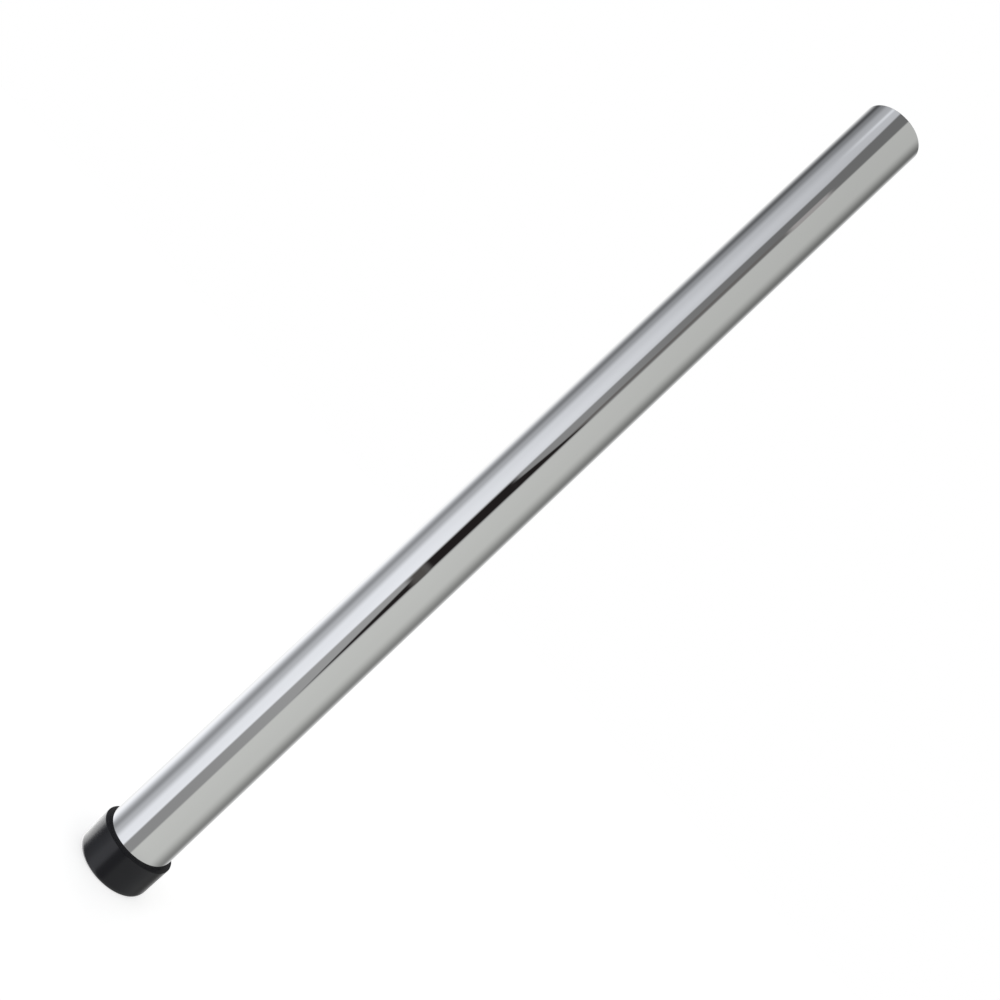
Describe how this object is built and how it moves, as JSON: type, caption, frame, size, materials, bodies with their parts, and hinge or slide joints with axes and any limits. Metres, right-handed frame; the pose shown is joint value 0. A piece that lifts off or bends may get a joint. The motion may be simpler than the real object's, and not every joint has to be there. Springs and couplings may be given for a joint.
{
  "type": "vacuum extension wand",
  "caption": "Straight chrome-plated steel vacuum wand, slightly conical, open end to end, with a black moulded collar round its socket mouth and a plain friction-fit spigot.",
  "frame": {"origin": "centre of the collar's mouth, on the flat ring that the wand stands on", "axes": "+Z along the tube's axis, from the collar to the spigot"},
  "size_m": [0.0386, 0.0386, 0.5],
  "materials": {
    "tube": "bright chrome plate with faint lengthwise polishing marks",
    "collar": "satin black moulding"
  },
  "bodies": {
    "root": {"tube": "tube", "collar": "collar"}
  },
  "joints": []
}
